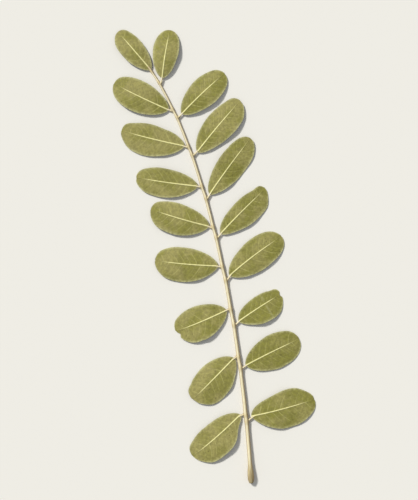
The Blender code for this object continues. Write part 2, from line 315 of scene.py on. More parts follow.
def along_vein(start, share):
    """Where a row has got to, at this share of the way from the rib to the rim."""
    forward = VEIN_SLANT * share**VEIN_CURVE + VEIN_HOOK * share**HOOK_CURVE
    return start + forward * start * (1 - start)


def rib_half_width(along):
    """Half of the rib's width, which narrows towards the tip."""
    return (RIB_WIDTH_MM - RIB_NARROWING_MM * along) * MM


def column_share(column, half, along):
    """A column's share of the half width, from 0 at the rib's middle to 1 at the rim."""
    step = abs(column - HALF_COLUMNS)
    rib = min(rib_half_width(along), RIB_WIDEST_SHARE * half)
    inner = rib * RIB_COLUMNS[-1] / half if half else 0
    if step == 0:
        return 0.0
    if step <= len(RIB_COLUMNS):
        return rib * RIB_COLUMNS[step - 1] / half if half else 0
    return inner + (1 - inner) * OUTER_COLUMNS[step - len(RIB_COLUMNS) - 1]


print("rows of one blade:", len(blade_rows(side_veins(LEAFLETS[0], 0, LEFT))))

# %% [markdown]
# ## Worn rims and notched tips
#
# No rim on the real leaf is a clean curve. Each wanders in and out by a tenth of a millimetre or
# so, some are nicked or have a flat stretch, and some tips are notched. Booleans could bite the
# nicks out, but they would leave hard cuts. Here a rule pulls the rim's corners in, so that the
# grid stays whole and each nick has a soft edge.

# %% Pull in the rims and the tips
RIM_WANDER, RIM_ROUGHNESS = 0.03, 0.005
NOTCH_START = 0.75
# For each nick or flat stretch of a rim: side of the rib, place along it, depth and spread.
RIM_NICKS = {
    "right_9": ((LEFT, 0.93, 0.16, 0.10),),
    "left_6": ((LEFT, 0.62, 0.03, 0.03),),
    "left_8": ((RIGHT, 0.55, 0.02, 0.03), (LEFT, 0.12, 0.30, 0.13)),
    "right_4": ((LEFT, 0.70, 0.025, 0.03),),
    "left_2": ((RIGHT, 0.35, 0.02, 0.025),),
}
# For each notched tip: how far to the side, how deep and how wide the notch is.
TIP_NOTCHES = {
    "right_7": (2.2 * MM, 1.3 * MM, 1.3 * MM),
    "left_6": (1.6 * MM, 1.6 * MM, 1.7 * MM),
    "right_9": (-0.4 * MM, 0.3 * MM, 0.9 * MM),
    "left_3": (0.3 * MM, 0.35 * MM, 0.8 * MM),
    "right_3": (0.0, 0.3 * MM, 0.7 * MM),
    "left_7": (-0.8 * MM, 0.35 * MM, 1.1 * MM),
}


def wander(seed, *place):
    """Smooth noise between -1 and 1 that is the same in every run."""
    return noise.noise(Vector((seed * 7.31, 0, 0)) + Vector(place))


def rim_share(leaflet, seed, side, along):
    """How far the rim stands from where the plain outline puts it, as a share of the half width."""
    share = 1 + RIM_WANDER * wander(seed, 4 * along, side * 3, 1)
    share += RIM_ROUGHNESS * wander(seed, 28 * along, side, 2)
    for nicked_side, place, depth, spread in RIM_NICKS.get(leaflet.name, ()):
        if nicked_side == side:
            share -= depth * bump(along - place, spread)
    return share


def tip_shortening(leaflet, point, along):
    """How far the tip falls short of the plain outline, at this point of the blade."""
    offset, depth, spread = TIP_NOTCHES.get(leaflet.name, (0, 0, 1))
    return depth * bump(point.y - offset, spread) * smooth((along - NOTCH_START) / (1 - NOTCH_START))


print(len(RIM_NICKS), "leaflets have nicked rims and", len(TIP_NOTCHES), "have notched tips")

# %% [markdown]
# ## Ridges and pillows
#
# The rib is a rounded ridge that thins out towards the tip. Side veins are lower and fade before
# the rim, and between them the dry tissue has shrunk into shallow pillows. The rim curls up and
# down, and one leaflet has a crease across it, as on the real leaf. All of this is one height over
# the bent blade, added up from the corner's place between rib, veins and rim.

# %% Shape the blade's relief
RIB_HEIGHT, RIB_THINNING = 0.42 * MM, 0.75
# How many rib half widths the ridge spreads over, how pale it is, and where along it the tint ends.
RIB_SPREAD, RIB_TINT, RIB_TINT_END = 1.15, 1.4, 0.94
VEIN_HEIGHT, VEIN_SPREAD = 0.125 * MM, 0.09
PILLOW_DEPTH, PILLOW_POWER = 0.10 * MM, 0.8
RIM_RIPPLE, PUCKER = 0.16 * MM, 0.10 * MM
CREASED = "right_7"
CREASE_PLACE, CREASE_DROP, CREASE_LIP = 0.63, 0.55 * MM, 0.22 * MM


def rounded_ridge(distance):
    """Profile of a ridge: 1 on its crest, and 0 from a distance of 1."""
    return (1 - min(1, distance) ** 2) ** 2


def relief(leaflet, seed, along, across, to_rib, row):
    """Height over the bent blade, and masks for the rib and the side veins."""
    out = abs(across)
    rib = rounded_ridge(to_rib / RIB_SPREAD)
    fade = smooth((row.vein.reach - out) / 0.5) * smooth((0.97 - along) / 0.12) * smooth(along / 0.06)
    vein = rounded_ridge(abs(row.offset) / VEIN_SPREAD) * fade * row.vein.strength * (1 - rib)
    pillow = min(1, abs(row.offset) * 2) ** PILLOW_POWER * fade
    from_base, from_tip = smooth(along / 0.02), smooth((1 - along) / 0.05)
    rise = RIB_HEIGHT * (1 - RIB_THINNING * along) * rib * from_base * from_tip
    rise += VEIN_HEIGHT * vein * (1 - 0.5 * out)
    rise += PILLOW_DEPTH * (pillow - 0.5) * fade * smooth(out * 4)
    rise += RIM_RIPPLE * out**3 * wander(seed, 9 * along, 2.2 * across, 3)
    rise += PUCKER * wander(seed, 4 * along, 3 * across, 5) * smooth(out * 3)
    if leaflet.name == CREASED:
        past = along - CREASE_PLACE
        rise -= CREASE_DROP * smooth(past / 0.35) - CREASE_LIP * bump(past, 0.02) * smooth(out * 5)
    pale = min(1, RIB_TINT * rounded_ridge(to_rib)) * smooth((RIB_TINT_END - along) / 0.25)
    return rise, pale, vein


print("a rib's height at half its length, mm:", round(RIB_HEIGHT * (1 - RIB_THINNING / 2) / MM, 2))

# %% [markdown]
# ## Grow the blades
#
# Every blade is one grid with a Solidify modifier for its thickness. Its thickness goes downwards,
# so that the modelled relief is what shows. The masks say where the rib, the veins and the rim
# are, and how tan and how specked this leaflet has turned.

# %% Make each blade
BLADE_MASKS = ("rib", "vein", "rim", "crease", "tan", "specks")
LOWEST, LOWEST_ROUNDING = BLADE_THICKNESS + 0.03 * MM, 0.05 * MM
ROW_WANDER = 0.05
RIM_BEAD, RIM_BEAD_WIDTH, RIM_TINT_WIDTH = 0.06 * MM, 0.4 * MM, 0.9 * MM
FULL_RELIEF_WIDTH = 2 * MM
CREASE_TINT_SPREAD = 0.012


def clear_of_floor(height):
    """The height, eased up where the blade's lower face would go through the surface."""
    over = (height - LOWEST) / LOWEST_ROUNDING
    return height if over > 12 else LOWEST + LOWEST_ROUNDING * math.log1p(math.exp(over))


def grow_blade(press, seed):
    leaflet = press.leaflet
    rows = {side: blade_rows(side_veins(leaflet, seed, side)) for side in (LEFT, RIGHT)}

    def bend(number, column):
        side = (column > HALF_COLUMNS) - (column < HALF_COLUMNS)
        row = rows[side or LEFT][number]
        middle = (rows[LEFT][number].place + rows[RIGHT][number].place) / 2
        apart = min(1, abs(column - HALF_COLUMNS) / len(RIB_COLUMNS))
        start = middle + (row.place - middle) * apart
        share = column_share(column, half_width(leaflet, start), start)
        along = along_vein(start, share)
        wandered = ROW_WANDER * wander(seed, 6 * start, side * 2 + 1.5 * share, 4)
        along = min(1, max(0, along + wandered * share * start * (1 - start)))
        half = half_width(leaflet, along)
        across = side * share * (1 + (rim_share(leaflet, seed, side, along) - 1) * share)
        to_rib = share * half / rib_half_width(along)
        rise, rib, vein = relief(leaflet, seed, along, side * share, to_rib, row)
        rise += RIM_BEAD * bump(half * (1 - share), RIM_BEAD_WIDTH)
        point = press.point(along, across)
        point.z = clear_of_floor(point.z + rise * min(1, half / FULL_RELIEF_WIDTH))
        rim = bump(half * (1 - share), RIM_TINT_WIDTH)
        crease = bump(along - CREASE_PLACE, CREASE_TINT_SPREAD) if leaflet.name == CREASED else 0
        point.x -= tip_shortening(leaflet, point, along)
        return point, (rib, vein, rim, crease * smooth(4 * share), leaflet.tan, leaflet.specks)

    mesh = skin_grid(leaflet.name, len(rows[LEFT]), 2 * HALF_COLUMNS + 1, bend, BLADE_MASKS)
    mesh.transform(leaflet_frame(leaflet))
    blade = add_piece("blade_" + leaflet.name, mesh)
    thickness = blade.modifiers.new("thickness", "SOLIDIFY")
    thickness.thickness = BLADE_THICKNESS
    thickness.offset = -1
    return blade


blades = [grow_blade(press, seed) for seed, press in enumerate(presses)]
print(len(blades), "blades,", sum(len(blade.data.polygons) for blade in blades), "quads")

# %% [markdown]
# ## How thick the rachis is
#
# The rachis is the leaf's slim backbone. It is thickest near its swollen foot, where it sat on the
# twig, tapers towards the tip, and thickens and steps aside a little where each leaflet joins it.
# A hand-drawn profile could give this, but small sums of soft hills are exact and easy to alter.

# %% Measure out the rachis
RACHIS_FOOT_RADIUS, RACHIS_TIP_RADIUS = 1.25 * MM, 0.65 * MM
SWELL_RADIUS, SWELL_PLACE, SWELL_SPREAD = 0.95 * MM, 4.5 * MM, 5.5 * MM
CUT_END_SHARE, CUT_END_LENGTH = 0.62, 2.2 * MM
NODE_SWELL, NODE_SPREAD = 0.18 * MM, 1.8 * MM
FOOT_HEIGHT, FOOT_LENGTH, FOOT_FALL = 2.0 * MM, 10 * MM, 20 * MM
RACHIS_GAP = 0.3 * MM
JOINT_SPREAD = 1.6 * MM
ZIGZAG, ZIGZAG_SPREAD = 0.16 * MM, 5 * MM


def rachis_radius(station):
    """Radius of the rachis this far from its foot, rounded off at the cut end."""
    radius = RACHIS_FOOT_RADIUS + (RACHIS_TIP_RADIUS - RACHIS_FOOT_RADIUS) * station / RACHIS_LENGTH
    radius += SWELL_RADIUS * bump(station - SWELL_PLACE, SWELL_SPREAD)
    radius += NODE_SWELL * sum(bump(station - leaf.station * MM, NODE_SPREAD) for leaf in LEAFLETS)
    rounding = min(1, station / CUT_END_LENGTH)
    return radius * (CUT_END_SHARE + (1 - CUT_END_SHARE) * math.sqrt(rounding))


def rachis_height(station):
    """Height of the middle of the rachis over the surface."""
    past_foot = smooth((station - FOOT_LENGTH) / FOOT_FALL)
    running = rachis_radius(station) + RACHIS_GAP
    return FOOT_HEIGHT + (running - FOOT_HEIGHT) * past_foot


def joint_nearness(station):
    """1 where a leaflet joins the rachis, and 0 away from it."""
    return max(bump(station - leaf.station * MM, JOINT_SPREAD) for leaf in LEAFLETS)


def zigzag(station):
    """Sideways step of the rachis towards each leaflet, as a distance to the left."""
    steps = [(leaf.side, station - leaf.station * MM) for leaf in LEAFLETS[:-1]]
    return sum(ZIGZAG * side * bump(distance, ZIGZAG_SPREAD) for side, distance in steps)


radii = [round(rachis_radius(place * MM) / MM, 2) for place in (5, 130, 260)]
print("radius of the rachis near its foot, halfway and near its tip, mm:", radii)

# %% [markdown]
# ## The shrunken skin of the rachis
#
# Drying has drawn the skin of the rachis into lengthwise ribs, which turn slowly round it, and its
# fleshy foot into folds and wrinkles. Two sets of cosine waves round the tube give ribs of uneven
# height, and seeded noise gives the folds. The same rule says how deep a place lies in a groove,
# so that the material can paint shade into the grooves.

# %% Shrink the skin
RIB_TURN, RIB_TURN_LENGTH = 0.5, 60 * MM
WRINKLED_LENGTH = 7 * MM
FOLD_LENGTH, WRINKLE_LENGTH = 2.2 * MM, 0.7 * MM
RIB_SHARE, FOOT_RIB_SHARE = 0.055, 0.03
FOLD_SHARE, FOOT_FOLD_SHARE, FOOT_WRINKLE_SHARE = 0.02, 0.05, 0.035


def skin_of_rachis(station, angle):
    """Share of the plain radius, and how deep this place lies in a groove."""
    turn = angle + RIB_TURN * wander(1, station / RIB_TURN_LENGTH, 0, 0)
    ribs = math.cos(7 * turn) * 0.5 + math.cos(4 * turn + 1.3) * 0.5
    foot = bump(station - SWELL_PLACE, WRINKLED_LENGTH)
    folds = wander(2, 3 * math.cos(angle), 3 * math.sin(angle), station / FOLD_LENGTH)
    wrinkle = wander(3, 1.2 * math.cos(angle), 1.2 * math.sin(angle), station / WRINKLE_LENGTH)
    share = 1 + (RIB_SHARE + FOOT_RIB_SHARE * foot) * ribs + FOLD_SHARE * folds
    share += foot * (FOOT_FOLD_SHARE * folds + FOOT_WRINKLE_SHARE * wrinkle)
    return share, 0.5 - 0.5 * ribs


turns = [math.tau * step / 90 for step in range(90)]
skin_shares = [skin_of_rachis(SWELL_PLACE, turn)[0] for turn in turns]
print("share of the radius round the foot:", round(min(skin_shares), 2), "to", round(max(skin_shares), 2))

# %% [markdown]
# ## Grow the rachis
#
# A curve with a bevel would be round all along, so the rachis is a grid rolled round its line,
# with a radius that depends on the distance from the foot and on the angle. Its first rings close
# the cut end with a sunken scar, and its last ones run on under the rib of the end blade.

# %% Roll the rachis
FOOT_PINCH, PINCH_START, PINCH_SPREAD = 0.12, 6 * MM, 7 * MM
SCAR_SPREAD = 0.45 * MM
RING_STEP = 0.6 * MM
# For each ring of the cut end: millimetres from the foot, and share of the radius.
CUT_SCAR = (
    (0.5, 0.0), (0.45, 0.3), (0.25, 0.62), (0.04, 0.84), (0.0, 0.94),
    (0.08, 1.0), (0.2, 1.0), (0.4, 1.0), (0.65, 1.0), (0.9, 1.0),
)
ROUNDS = 48
END_REACH, END_RINGS, END_SINK = 5 * MM, 8, 0.25 * MM
STALK_MASKS = ("foot", "scar", "joint", "along", "ring_x", "ring_y", "groove")


def rachis_rings():
    """(station, share of the radius) for each ring, from inside the cut end to the far end."""
    rings = [(place * MM, share) for place, share in CUT_SCAR]
    count = round(RACHIS_LENGTH / RING_STEP)
    return rings + [(RACHIS_LENGTH * ring / count, 1.0) for ring in range(2, count + 1)]


def run_into_blade(press, reach, count):
    """Points under the blade's rib, from its base inwards."""
    place = leaflet_frame(press.leaflet)
    blade_length = press.leaflet.length * MM - STALK_LENGTH[press.leaflet.side]
    shares = [reach * step / count / blade_length for step in range(1, count + 1)]
    return [place @ press.point(share, 0) for share in shares]


def make_rachis():
    rings = rachis_rings()
    end_points = run_into_blade(presses[-1], END_REACH, END_RINGS)

    def wrap(row, column):
        angle = -math.tau * column / ROUNDS
        if row < len(rings):
            station, closing = rings[row]
            centre, direction = rachis_at(station)
            left = Vector((-direction.y, direction.x, 0))
            centre = centre + left * zigzag(station) + Vector((0, 0, rachis_height(station)))
            radius = rachis_radius(max(station, 0.02 * MM)) * closing
        else:
            step = row - len(rings)
            station, closing = RACHIS_LENGTH, 1 - ((step + 1) / len(end_points)) ** 2
            centre, direction = end_points[step], rachis_at(RACHIS_LENGTH)[1]
            centre = centre - Vector((0, 0, END_SINK * step / len(end_points)))
            left = Vector((-direction.y, direction.x, 0))
            radius = RACHIS_TIP_RADIUS * closing
        share, groove = skin_of_rachis(station, angle)
        foot = bump(max(0, station - PINCH_START), PINCH_SPREAD)
        sideways = left * math.cos(angle) * (1 - FOOT_PINCH * foot)
        point = centre + (sideways + Vector((0, 0, math.sin(angle)))) * radius * share
        point.z = max(point.z, 0.0)
        ring = (math.cos(angle), math.sin(angle))
        scar = bump(station, SCAR_SPREAD) if row < len(rings) else 0
        return point, (foot, scar, joint_nearness(station), station / RACHIS_LENGTH, *ring, groove)

    mesh = skin_grid("rachis", len(rings) + len(end_points), ROUNDS + 1, wrap, STALK_MASKS)
    return add_piece("rachis", mesh)


rachis = make_rachis()
print("rachis:", len(rachis.data.polygons), "quads")

# %% [markdown]
# ## Grow the leaflet stalks
#
# Between the rachis and each blade is a stalk two or three millimetres long. It flares where it
# leaves the rachis, is ringed with fine wrinkles, and sinks into the underside of the blade's rib.
# It is rolled like the rachis, round a line from inside the rachis to inside the blade.

# %% Roll each leaflet stalk
STALK_RADIUS, STALK_END_RADIUS = 0.56 * MM, 0.12 * MM
STALK_WIDEST_SHARE = 0.8
STALK_LEAN, STALK_BEND = 0.5, 0.35
STALK_ROUNDS, STALK_RINGS = 24, 22
STALK_REACH, STALK_SINK = 5.0 * MM, 0.14 * MM
STALK_STREAK = 8 * MM
FLARE, FLARE_PLACE, FLARE_SPREAD = 0.24 * MM, 0.17, 0.08
RING_RELIEF, RINGED_PLACE, RINGED_SPREAD = 0.05, 0.35, 0.3


def point_on_line(points, share):
    """The point at a share of the way along a smooth line that four points draw."""
    a, b, c, d = points
    rest = 1 - share
    near = a * rest**3 + b * 3 * share * rest**2
    return near + c * 3 * share**2 * rest + d * share**3


def stalk_line(press):
    """Four points that draw a stalk's line, from inside the rachis to inside the blade."""
    leaflet = press.leaflet
    station = leaflet.station * MM
    centre, direction = rachis_at(station)
    lean = STALK_LEAN * ROOT_OFFSET / math.tan(math.radians(leaflet.splay))
    place = leaflet_frame(leaflet)
    root = centre - direction * lean + Vector((0, 0, min(ROOT_HEIGHT, rachis_height(station))))
    knee = place @ Vector((0, STALK_BEND * rib_offset(leaflet, 0), ROOT_HEIGHT + 0.1 * MM))
    blade_length = leaflet.length * MM - STALK_LENGTH[leaflet.side]
    base = place @ (press.point(0.02, 0) + Vector((0, 0, 0.05 * MM)))
    inside = place @ (press.point(STALK_REACH / blade_length, 0) - Vector((0, 0, STALK_SINK)))
    return root, knee, base, inside


def make_leaflet_stalk(press, seed):
    leaflet = press.leaflet
    station = leaflet.station * MM
    line = stalk_line(press)
    widest = min(STALK_RADIUS, STALK_WIDEST_SHARE * rachis_radius(station))

    def wrap(row, column):
        share = row / STALK_RINGS
        angle = -math.tau * column / STALK_ROUNDS
        ahead = point_on_line(line, min(1, share + 0.02)) - point_on_line(line, share - 0.02)
        ahead.z = 0
        left = Vector((-ahead.y, ahead.x, 0)).normalized()
        radius = widest + (STALK_END_RADIUS - widest) * smooth((share - 0.35) / 0.65)
        joint = bump(share - FLARE_PLACE, FLARE_SPREAD)
        radius += FLARE * joint
        ringed = RING_RELIEF * wander(seed, 22 * share, 0.6 * math.cos(angle), 6)
        ringed *= bump(share - RINGED_PLACE, RINGED_SPREAD)
        radius *= 1 + ringed + 0.03 * math.cos(5 * angle + seed)
        radius *= 1 if 0 < row < STALK_RINGS else 0
        outwards = left * math.cos(angle) + Vector((0, 0, math.sin(angle)))
        point = point_on_line(line, share) + outwards * radius
        along = (station + share * STALK_STREAK) / RACHIS_LENGTH
        ring = (math.cos(angle), math.sin(angle))
        return point, (0.0, 0.0, joint, along, *ring, 0.5 + 5 * ringed)

    mesh = skin_grid(leaflet.name + "_stalk", STALK_RINGS + 1, STALK_ROUNDS + 1, wrap, STALK_MASKS)
    return add_piece("stalk_" + leaflet.name, mesh)


leaflet_stalks = [make_leaflet_stalk(press, seed) for seed, press in enumerate(presses[:-1])]
print(len(leaflet_stalks), "leaflet stalks")

# %% [markdown]
# ## Colours and nodes in a few words
#
# Every finish below is a tree of nodes. They could be placed and linked one by one in the shader
# editor. In a script, a few helpers keep a tree readable: one turns a colour as seen on a screen
# into the linear values that Blender mixes, one adds a node and joins up its inputs in a single
# line, and the others name the few kinds of node that come back again and again.

# %% Helpers for node trees
def seen_colour(red, green, blue):
    """Linear colour for a colour given as 0 to 255 on a screen."""
    values = [value / 255 for value in (red, green, blue)]
    return (*[v / 12.92 if v <= 0.04045 else ((v + 0.055) / 1.055) ** 2.4 for v in values], 1)


def join(tree, node, inputs):
    """Gives a node's sockets their values, or links other nodes' outputs to them."""
    for socket, value in inputs.items():
        if isinstance(value, bpy.types.NodeSocket):
            tree.links.new(value, node.inputs[socket])
        else:
            node.inputs[socket].default_value = value


def put(tree, kind, inputs, **settings):
    """Adds a node. inputs holds values and other nodes' outputs, by socket."""
    node = tree.nodes.new("ShaderNode" + kind)
    for name, value in settings.items():
        setattr(node, name, value)
    join(tree, node, inputs)
    return node


def blend_colours(tree, share, first, second):
    """Output of a node that goes from the first colour to the second."""
    mix = put(tree, "Mix", {0: share, 6: first, 7: second}, data_type="RGBA")
    return mix.outputs[2]


def paint(tree, colour, where, strength, coat):
    """The colour with a coat laid over it where the mask says, this strongly."""
    return blend_colours(tree, calculate(tree, "MULTIPLY", where, strength), colour, coat)


def ramp(tree, value, low, high, to_low=0.0, to_high=1.0):
    """Output that rises smoothly from to_low to to_high as the value goes from low to high."""
    inputs = {"Value": value, "From Min": low, "From Max": high, "To Min": to_low, "To Max": to_high}
    return put(tree, "MapRange", inputs, interpolation_type="SMOOTHSTEP").outputs["Result"]


def calculate(tree, operation, first, second):
    """Output of a node that does one sum."""
    return put(tree, "Math", {0: first, 1: second}, operation=operation).outputs[0]


def mask(tree, name):
    """A mask that was stored on the mesh."""
    return put(tree, "Attribute", {}, attribute_name=name).outputs["Fac"]


print("a dried blade's mid colour:", [round(value, 3) for value in seen_colour(150, 146, 88)])

# %% [markdown]
# ## Effects that several finishes share
#
# Blade and stalk are the same dried plant, so they share some effects and differ only in their
# values. Copied nodes would drift apart. A node group is built once, with named inputs, and is
# placed in each material with values of its own.

# %% Start a node group and place it
def new_effect(name, inputs, outputs):
    """An empty node group with float and vector inputs and float outputs."""
    group = bpy.data.node_groups.new(name, "ShaderNodeTree")
    for socket, value in inputs.items():
        kind = "NodeSocketVector" if socket == "Place" else "NodeSocketFloat"
        made = group.interface.new_socket(socket, in_out="INPUT", socket_type=kind)
        if value is not None:
            made.default_value = value
    for socket in outputs:
        group.interface.new_socket(socket, in_out="OUTPUT", socket_type="NodeSocketFloat")
    return group, group.nodes.new("NodeGroupInput").outputs, group.nodes.new("NodeGroupOutput").inputs


def use_effect(tree, group, inputs):
    """Outputs of a group that is placed in a material with these values."""
    node = tree.nodes.new("ShaderNodeGroup")
    node.node_tree = group
    join(tree, node, inputs)
    return node.outputs


def effect_outputs(group):
    return [item.name for item in group.interface.items_tree if item.in_out == "OUTPUT"]


print("node groups so far:", len(bpy.data.node_groups))

# %% [markdown]
# ## Mottling
#
# Dried tissue is never one colour. It has broad patches where it dried at another speed, a fine
# grain, and a few dark specks. Blade and stalk both show this, so it is one group with a patch
# size, a grain size and a share of specks, and each material gives its own values.

# %% Build the mottling group
def build_mottling():
    values = {"Place": None, "Patch Size": 9.0, "Grain Size": 0.9}
    values |= {"Speck Size": 2.2, "Speck Share": 0.1}
    group, given, result = new_effect("dry mottling", values, ("Patches", "Grain", "Specks"))
    patch_scale = calculate(group, "DIVIDE", 1.0, given["Patch Size"])
    grain_scale = calculate(group, "DIVIDE", 1.0, given["Grain Size"])
    speck_scale = calculate(group, "DIVIDE", 1.0, given["Speck Size"])
    place = given["Place"]
    broad = {"Vector": place, "Scale": patch_scale, "Detail": 3.0, "Roughness": 0.55}
    patches = put(group, "TexNoise", broad).outputs["Fac"]
    fine = {"Vector": place, "Scale": grain_scale, "Detail": 4.0, "Roughness": 0.65}
    grain = put(group, "TexNoise", fine).outputs["Fac"]
    cells = put(group, "TexVoronoi", {"Vector": place, "Scale": speck_scale}).outputs
    chance = put(group, "SeparateColor", {"Color": cells["Color"]}).outputs["Red"]
    chosen = calculate(group, "LESS_THAN", chance, given["Speck Share"])
    dot = ramp(group, cells["Distance"], 0.11, 0.19, 1.0, 0.0)
    group.links.new(ramp(group, patches, 0.34, 0.66), result["Patches"])
    group.links.new(ramp(group, grain, 0.30, 0.70), result["Grain"])
    group.links.new(calculate(group, "MULTIPLY", chosen, dot), result["Specks"])
    return group


mottling = build_mottling()
print("mottling gives", effect_outputs(mottling))

# %% [markdown]
# ## Dry skin
#
# Close up, dry tissue is puckered into cells between its smallest veins, with a rougher grain on
# top. A Voronoi texture's distance to its cell borders gives a net like that. The group puts out
# the net as a mask, and the net and the grain together as a height that each material feeds to a
# Bump node of its own.

# %% Build the dry-skin group
def build_dry_skin():
    values = {"Place": None, "Cell Size": 0.7, "Grain Size": 0.2, "Grain Share": 0.35}
    group, given, result = new_effect("dry skin", values, ("Height", "Net"))
    cell_scale = calculate(group, "DIVIDE", 1.0, given["Cell Size"])
    grain_scale = calculate(group, "DIVIDE", 1.0, given["Grain Size"])
    uneven = {"Vector": given["Place"], "Scale": 0.9, "Detail": 2.0}
    bent = put(group, "TexNoise", uneven).outputs["Color"]
    shifted = put(group, "VectorMath", {0: given["Place"], 1: bent}, operation="ADD").outputs[0]
    net = {"Vector": shifted, "Scale": cell_scale}
    border = put(group, "TexVoronoi", net, feature="DISTANCE_TO_EDGE").outputs["Distance"]
    line = ramp(group, border, 0.02, 0.16, 1.0, 0.0)
    grain = {"Vector": given["Place"], "Scale": grain_scale, "Detail": 3.0}
    rough = put(group, "TexNoise", grain).outputs["Fac"]
    fine = calculate(group, "MULTIPLY", rough, given["Grain Share"])
    group.links.new(calculate(group, "ADD", line, fine), result["Height"])
    group.links.new(line, result["Net"])
    return group


dry_skin = build_dry_skin()
print("dry skin gives", effect_outputs(dry_skin))

# %% [markdown]
# ## The blade's finish
#
# The underside is a dull grey-olive that turns to tan as it dries, with a pale straw rib, slightly
# paler side veins and a pale, bleached rim. The masks on the mesh say where these are, and the
# mottling keeps each of them from being even. The face that lies down is the leaf's upper one,
# which dries browner and smoother, so it gets a material with other values of the same build.

# %% Mix the blade's materials
BladeTints = namedtuple("BladeTints", "green tan rib vein rim speck roughness")
UNDERSIDE = BladeTints((140, 138, 59), (166, 159, 95), (255, 250, 180), (190, 186, 118),
                       (198, 196, 146), (84, 76, 38), (0.58, 0.8))
UPPER_FACE = BladeTints((92, 90, 44), (128, 112, 66), (160, 140, 90), (112, 102, 56),
                        (120, 108, 66), (56, 46, 26), (0.42, 0.6))


def new_material(name):
    material = bpy.data.materials.new(name)
    material.use_nodes = True
    return material.node_tree


def finish_material(name, colour, roughness, height, bump_depth, specular):
    """Feeds the finished colour, roughness and relief to the material's shader."""
    material = bpy.data.materials[name]
    tree = material.node_tree
    relief = put(tree, "Bump", {"Height": height, "Strength": 0.6, "Distance": bump_depth})
    surface = tree.nodes["Principled BSDF"]
    surface.inputs["Specular IOR Level"].default_value = specular
    tree.links.new(colour, surface.inputs["Base Color"])
    tree.links.new(roughness, surface.inputs["Roughness"])
    tree.links.new(relief.outputs["Normal"], surface.inputs["Normal"])
    return material


def place_in_mm(tree):
    """The place on the leaf, in millimetres."""
    place = put(tree, "TexCoord", {}).outputs["Object"]
    return put(tree, "VectorMath", {0: place, "Scale": 1000.0}, operation="SCALE").outputs[0]


def mix_blade(name, tints):
    tree = new_material(name)
    colours = {part: seen_colour(*getattr(tints, part)) for part in tints._fields[:-1]}
    place = place_in_mm(tree)
    spots = {"Place": place, "Patch Size": 11.0, "Grain Size": 1.5, "Speck Size": 2.2}
    spots["Speck Share"] = mask(tree, "specks")
    spots = use_effect(tree, mottling, spots)
    skin = use_effect(tree, dry_skin, {"Place": place, "Cell Size": 0.75, "Grain Size": 0.22})

    def by_grain(low, high):
        return ramp(tree, spots["Grain"], 0, 1, low, high)

    dried = calculate(tree, "ADD", mask(tree, "tan"), ramp(tree, spots["Patches"], 0, 1, -0.3, 0.3))
    colour = blend_colours(tree, ramp(tree, dried, 0.0, 1.0), colours["green"], colours["tan"])
    colour = blend_colours(tree, by_grain(0.38, 0.0), colour, colours["speck"])
    colour = paint(tree, colour, skin["Net"], 0.16, colours["vein"])
    colour = paint(tree, colour, mask(tree, "rim"), by_grain(0.3, 0.95), colours["rim"])
    colour = paint(tree, colour, mask(tree, "vein"), by_grain(0.4, 0.85), colours["vein"])
    colour = paint(tree, colour, spots["Specks"], 0.85, colours["speck"])
    colour = paint(tree, colour, mask(tree, "rib"), by_grain(0.75, 1.0), colours["rib"])
    colour = paint(tree, colour, mask(tree, "crease"), 0.45, colours["rim"])
    roughness = by_grain(*tints.roughness)
    height = calculate(tree, "MULTIPLY", skin["Height"], ramp(tree, mask(tree, "rib"), 0, 1, 1.0, 0.2))
    return finish_material(name, colour, roughness, height, 0.05 * MM, 0.35)


blade_materials = [mix_blade("dried underside", UNDERSIDE), mix_blade("dried upper face", UPPER_FACE)]
for blade in blades:
    for material in blade_materials:
        blade.data.materials.append(material)
    blade.modifiers["thickness"].material_offset = 1
print([material.name for material in blade_materials])

# %% [markdown]
# ## The stalk's finish
#
# The rachis is straw-coloured and a little glossy on its ribs, with brown at its joints; painted shade
# browns its grooves and both flanks, the right one most. Its foot is a duller tan, and its cut end is
# brown. The same two groups are used, but the place that they read is made from the turn round the
# stalk and the distance along it, so that their patches draw out into long streaks.

# %% Mix the stalk's material
STRAW, STREAK = seen_colour(253, 246, 212), seen_colour(232, 216, 166)
# The first colour on the next line browns the fibre net and the specks, and is also painted shade in the
# grooves.
BROWN_MARKS_AND_GROOVE_SHADE, JOINT = seen_colour(170, 142, 88), seen_colour(196, 174, 112)
FOOT_SKIN, FOOT_DARK = seen_colour(204, 190, 136), seen_colour(150, 130, 84)
# The second colour on the next line is painted shade for the stalks' flanks, and the line after sets how
# strong it is and how far it leans to the right flank; the first is the cut end's brown.
CUT, FLANK_SHADE = seen_colour(104, 82, 50), seen_colour(138, 108, 66)
FLANK_SHADE_SHARE, FLANK_SHADE_SHIFT = 0.75, 0.15


def streaked_place(tree, stretch):
    """A place whose third axis runs along the stalk, shortened so that patches turn to streaks."""
    along = calculate(tree, "MULTIPLY", mask(tree, "along"), RACHIS_LENGTH / MM / stretch)
    parts = {"X": mask(tree, "ring_x"), "Y": mask(tree, "ring_y"), "Z": along}
    return put(tree, "CombineXYZ", parts).outputs[0]


